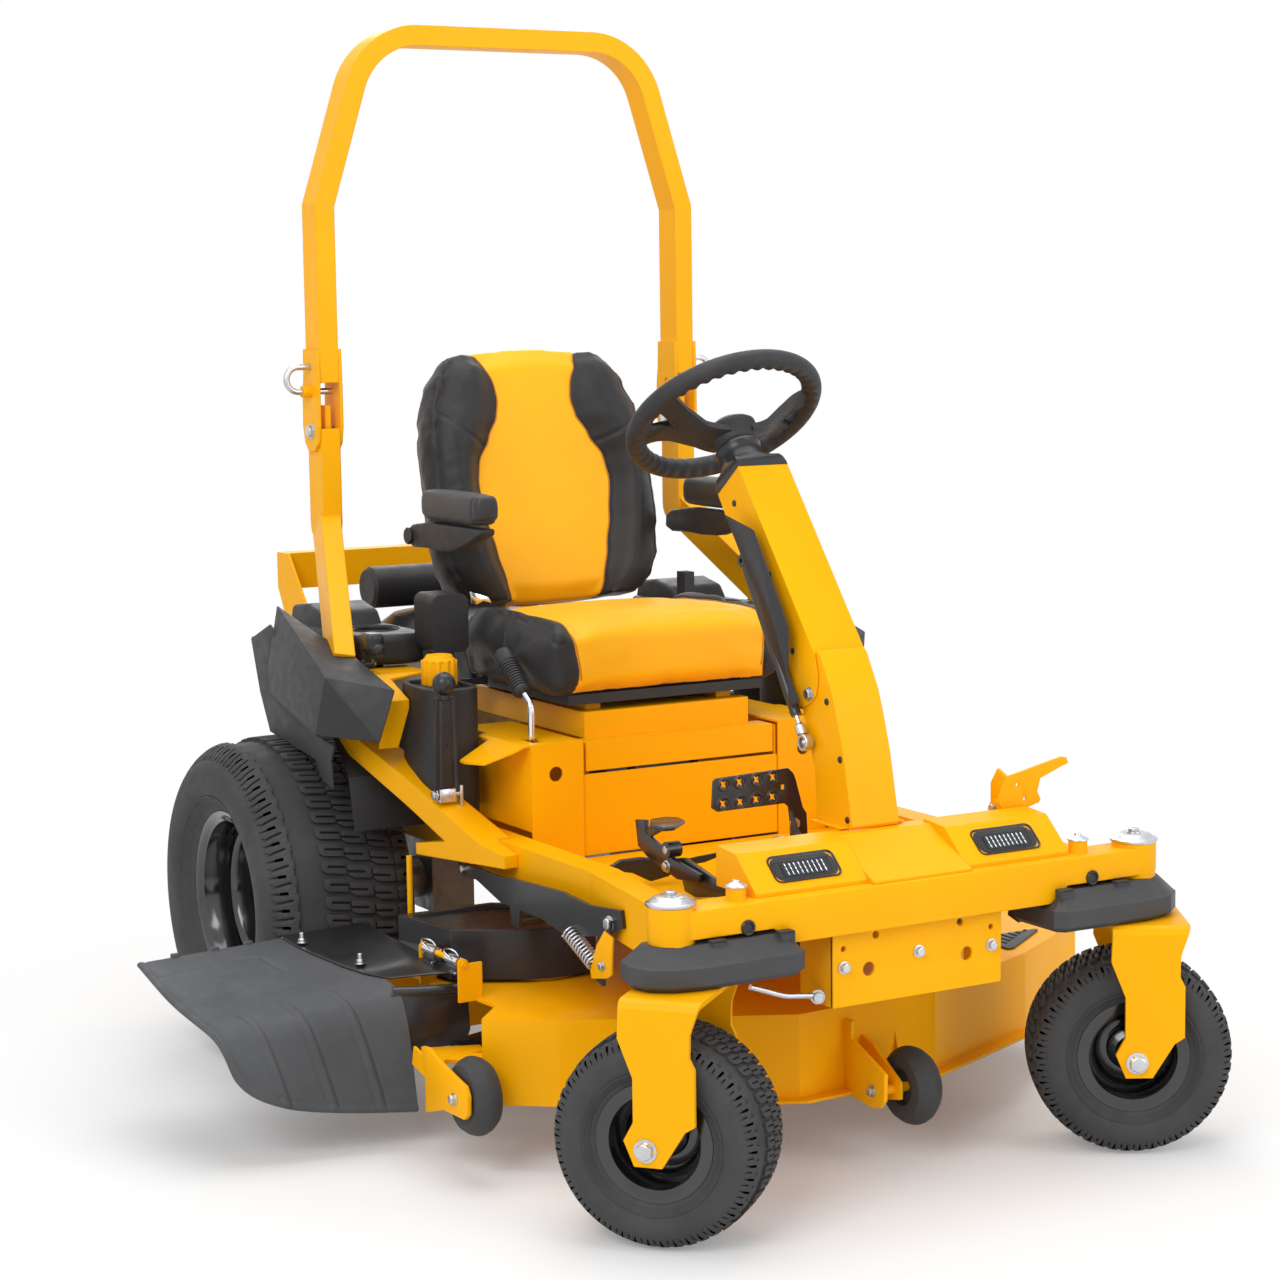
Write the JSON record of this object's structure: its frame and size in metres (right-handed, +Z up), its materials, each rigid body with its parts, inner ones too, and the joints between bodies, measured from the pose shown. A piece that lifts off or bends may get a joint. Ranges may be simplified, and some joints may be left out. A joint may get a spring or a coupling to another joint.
{
  "type": "riding mower",
  "caption": "Ride-on zero-turn lawn mower with a steering wheel, folding roll bar, suspension seat and a side-discharge cutting deck.",
  "frame": {"origin": "on the ground under the middle of the whole machine", "axes": "+Z up; the machine drives towards -Y; its right side, with the chute, is at -X"},
  "size_m": [1.61, 2.0664, 1.913],
  "materials": {
    "alloy": "cast",
    "black_paint": "semi gloss",
    "black_plastic": "grained",
    "chrome": "polished",
    "grey_plastic": "grained",
    "lens": "clear",
    "rubber": "matt",
    "steel": "zinc plated",
    "tyre": "matt",
    "vinyl": "grained",
    "yellow_paint": "semi gloss"
  },
  "bodies": {
    "chassis": {"frame_rails": "yellow_paint", "front_beam": "yellow_paint", "beam_guards": "grey_plastic", "front_covers": "yellow_paint", "headlamps": "lens", "floor_pan": "black_paint", "seat_box": "yellow_paint", "side_boxes": "yellow_paint", "fuel_tanks": "black_plastic", "fender_covers": "black_plastic", "side_consoles": "black_plastic", "battery": "black_plastic", "rops_posts": "yellow_paint", "engine_block": "alloy", "engine_shroud": "black_plastic", "air_filter": "black_plastic", "transaxles": "alloy", "steering_console": "yellow_paint", "frame_pins": "steel"},
    "right_rear": {"right_rear_tyre": "tyre", "right_rear_wheel": "black_paint"},
    "left_rear": {"left_rear_tyre": "tyre", "left_rear_wheel": "black_paint"},
    "right_caster": {"right_caster_fork": "black_paint"},
    "left_caster": {"left_caster_fork": "black_paint"},
    "right_front": {"right_front_tyre": "tyre", "right_front_wheel": "black_paint"},
    "left_front": {"left_front_tyre": "tyre", "left_front_wheel": "black_paint"},
    "hoop": {"rops_hoop": "yellow_paint"},
    "right_pin": {"right_lock_pin": "chrome"},
    "left_pin": {"left_lock_pin": "chrome"},
    "column": {"column_arm": "yellow_paint", "column_boot": "rubber"},
    "wheel": {"steering_wheel": "rubber"},
    "strut_case": {"strut_cylinder": "black_paint"},
    "strut_stem": {"strut_rod": "chrome"},
    "seat_frame": {"seat_base": "yellow_paint"},
    "seat": {"seat_pan": "black_paint", "seat_cushion": "vinyl"},
    "back": {"seat_backrest": "vinyl"},
    "right_arm": {"right_armrest": "vinyl"},
    "left_arm": {"left_armrest": "vinyl"},
    "forward": {"forward_pedal": "black_paint"},
    "reverse": {"reverse_pedal": "black_paint"},
    "lift_foot": {"lift_pedal": "yellow_paint"},
    "parking": {"parking_lever": "black_paint"},
    "height": {"height_lever": "chrome"},
    "throttle": {"throttle_lever": "black_plastic"},
    "deck": {"deck_shell": "yellow_paint", "belt_covers": "black_paint"},
    "lift_arms": {"lift_arms": "black_paint"},
    "clutch": {"clutch_pulley": "steel"},
    "right_blade_set": {"right_blade": "steel"},
    "centre_blade_set": {"centre_blade": "steel"},
    "left_blade_set": {"left_blade": "steel"},
    "chute_flap": {"chute_plate": "black_paint", "chute": "rubber"},
    "right_gauge": {"right_gauge_wheel": "rubber"},
    "middle_gauge": {"middle_gauge_wheel": "rubber"}
  },
  "joints": [
    {"name": "right_rear_roll", "type": "hinge", "parent": "chassis", "child": "right_rear", "pos_m": [-0.391, 0.4332, 0.298], "axis": [1, 0, 0], "continuous": true},
    {"name": "left_rear_roll", "type": "hinge", "parent": "chassis", "child": "left_rear", "pos_m": [0.621, 0.4332, 0.298], "axis": [1, 0, 0], "continuous": true},
    {"name": "right_caster_swivel", "type": "hinge", "parent": "chassis", "child": "right_caster", "pos_m": [-0.323, -0.8788, 0.43], "axis": [0, 0, 1], "continuous": true},
    {"name": "right_front_roll", "type": "hinge", "parent": "right_caster", "child": "right_front", "pos_m": [-0.32825, -0.87276, 0.165], "axis": [0.7547, 0.6561, 0], "continuous": true},
    {"name": "left_caster_swivel", "type": "hinge", "parent": "chassis", "child": "left_caster", "pos_m": [0.553, -0.8788, 0.43], "axis": [0, 0, 1], "continuous": true},
    {"name": "left_front_roll", "type": "hinge", "parent": "left_caster", "child": "left_front", "pos_m": [0.54614, -0.87468, 0.165], "axis": [0.515, 0.8572, 0], "continuous": true},
    {"name": "hoop_fold", "type": "hinge", "parent": "chassis", "child": "hoop", "pos_m": [0.115, 0.4792, 1.16], "axis": [1, 0, 0], "range_deg": [-105, 0]},
    {"name": "right_pin_pull", "type": "slide", "parent": "hoop", "child": "right_pin", "axis": [-1, 0, 0], "range_m": [0, 0.03]},
    {"name": "left_pin_pull", "type": "slide", "parent": "hoop", "child": "left_pin", "axis": [1, 0, 0], "range_m": [0, 0.03]},
    {"name": "column_tilt", "type": "hinge", "parent": "chassis", "child": "column", "pos_m": [0.115, -0.6618, 0.765], "axis": [1, 0, 0], "range_deg": [-12, 0]},
    {"name": "steering", "type": "hinge", "parent": "column", "child": "wheel", "pos_m": [0.115, -0.3293, 1.1987], "axis": [0, 0.6074, 0.7944], "range_deg": [-120, 120]},
    {"name": "strut_swing", "type": "hinge", "parent": "column", "child": "strut_case", "pos_m": [0.055, -0.4878, 0.967], "axis": [1, 0, 0], "range_deg": [-0.5, 2.85]},
    {"name": "strut_extend", "type": "slide", "parent": "strut_case", "child": "strut_stem", "axis": [0, -0.5379, -0.843], "range_m": [-0.00991, 0.001]},
    {"name": "seat_tip", "type": "hinge", "parent": "chassis", "child": "seat_frame", "pos_m": [0.115, -0.1568, 0.616], "axis": [1, 0, 0], "range_deg": [0, 30]},
    {"name": "seat_slide", "type": "slide", "parent": "seat_frame", "child": "seat", "axis": [0, 1, 0], "range_m": [-0.05, 0]},
    {"name": "back_recline", "type": "hinge", "parent": "seat", "child": "back", "pos_m": [0.115, 0.3212, 0.8], "axis": [1, 0, 0], "range_deg": [-8, 4]},
    {"name": "right_armrest_lift", "type": "hinge", "parent": "back", "child": "right_arm", "pos_m": [-0.165, 0.3087, 0.96812], "axis": [1, 0, 0], "range_deg": [-90, 0]},
    {"name": "left_armrest_lift", "type": "hinge", "parent": "back", "child": "left_arm", "pos_m": [0.395, 0.3087, 0.96812], "axis": [1, 0, 0], "range_deg": [-90, 0]},
    {"name": "forward_press", "type": "hinge", "parent": "chassis", "child": "forward", "pos_m": [0.043, -0.6498, 0.526], "axis": [1, 0, 0], "range_deg": [0, 15], "stiffness_Nm_per_rad": 12, "springref_deg": -8.59},
    {"name": "reverse_press", "type": "hinge", "parent": "chassis", "child": "reverse", "pos_m": [-0.155, -0.5978, 0.526], "axis": [1, 0, 0], "range_deg": [-15, 0], "stiffness_Nm_per_rad": 12, "springref_deg": 8.59},
    {"name": "lift_press", "type": "hinge", "parent": "chassis", "child": "lift_foot", "pos_m": [0.38, -0.7428, 0.56], "axis": [1, 0, 0], "range_deg": [-22, 8]},
    {"name": "parking_pull", "type": "hinge", "parent": "chassis", "child": "parking", "pos_m": [-0.299, -0.0728, 0.552], "axis": [1, 0, 0], "range_deg": [0, 25]},
    {"name": "height_pick", "type": "hinge", "parent": "chassis", "child": "height", "pos_m": [-0.158, -0.1258, 0.61], "axis": [1, 0, 0], "range_deg": [-12, 12]},
    {"name": "throttle_pull", "type": "hinge", "parent": "chassis", "child": "throttle", "pos_m": [-0.325, 0.1872, 0.752], "axis": [1, 0, 0], "range_deg": [-15, 12]},
    {"name": "deck_lift", "type": "slide", "parent": "chassis", "child": "deck", "axis": [0, 0, 1], "range_m": [-0.06, 0.02]},
    {"name": "lift_arm_swing", "type": "hinge", "parent": "chassis", "child": "lift_arms", "pos_m": [0.115, -0.1188, 0.427], "axis": [1, 0, 0], "range_deg": [-3, 8]},
    {"name": "clutch_spin", "type": "hinge", "parent": "chassis", "child": "clutch", "pos_m": [0.115, 0.6982, 0.4], "axis": [0, 0, 1], "continuous": true},
    {"name": "right_blade_spin", "type": "hinge", "parent": "deck", "child": "right_blade_set", "pos_m": [-0.195, -0.2118, 0.2], "axis": [0, 0, 1], "continuous": true},
    {"name": "centre_blade_spin", "type": "hinge", "parent": "deck", "child": "centre_blade_set", "pos_m": [0.189, -0.3718, 0.2], "axis": [0, 0, 1], "continuous": true},
    {"name": "left_blade_spin", "type": "hinge", "parent": "deck", "child": "left_blade_set", "pos_m": [0.585, -0.2118, 0.2], "axis": [0, 0, 1], "continuous": true},
    {"name": "chute_lift", "type": "hinge", "parent": "deck", "child": "chute_flap", "pos_m": [-0.39, -0.0668, 0.312], "axis": [0, 1, 0], "range_deg": [0, 70]},
    {"name": "right_gauge_roll", "type": "hinge", "parent": "deck", "child": "right_gauge", "pos_m": [-0.451, -0.4718, 0.138], "axis": [1, 0, 0], "continuous": true},
    {"name": "middle_gauge_roll", "type": "hinge", "parent": "deck", "child": "middle_gauge", "pos_m": [0.185, -0.7728, 0.13], "axis": [1, 0, 0], "continuous": true}
  ],
  "couplings": [
    {"joint": "strut_swing", "follows": "column_tilt", "ratio": -0.196},
    {"joint": "strut_extend", "follows": "column_tilt", "m_per_rad": 0.04255},
    {"joint": "lift_press", "follows": "deck_lift", "rad_per_m": 6},
    {"joint": "lift_arm_swing", "follows": "deck_lift", "rad_per_m": -2},
    {"joint": "right_blade_spin", "follows": "clutch_spin", "ratio": 0.92},
    {"joint": "centre_blade_spin", "follows": "clutch_spin", "ratio": 0.92},
    {"joint": "left_blade_spin", "follows": "clutch_spin", "ratio": 0.92}
  ]
}
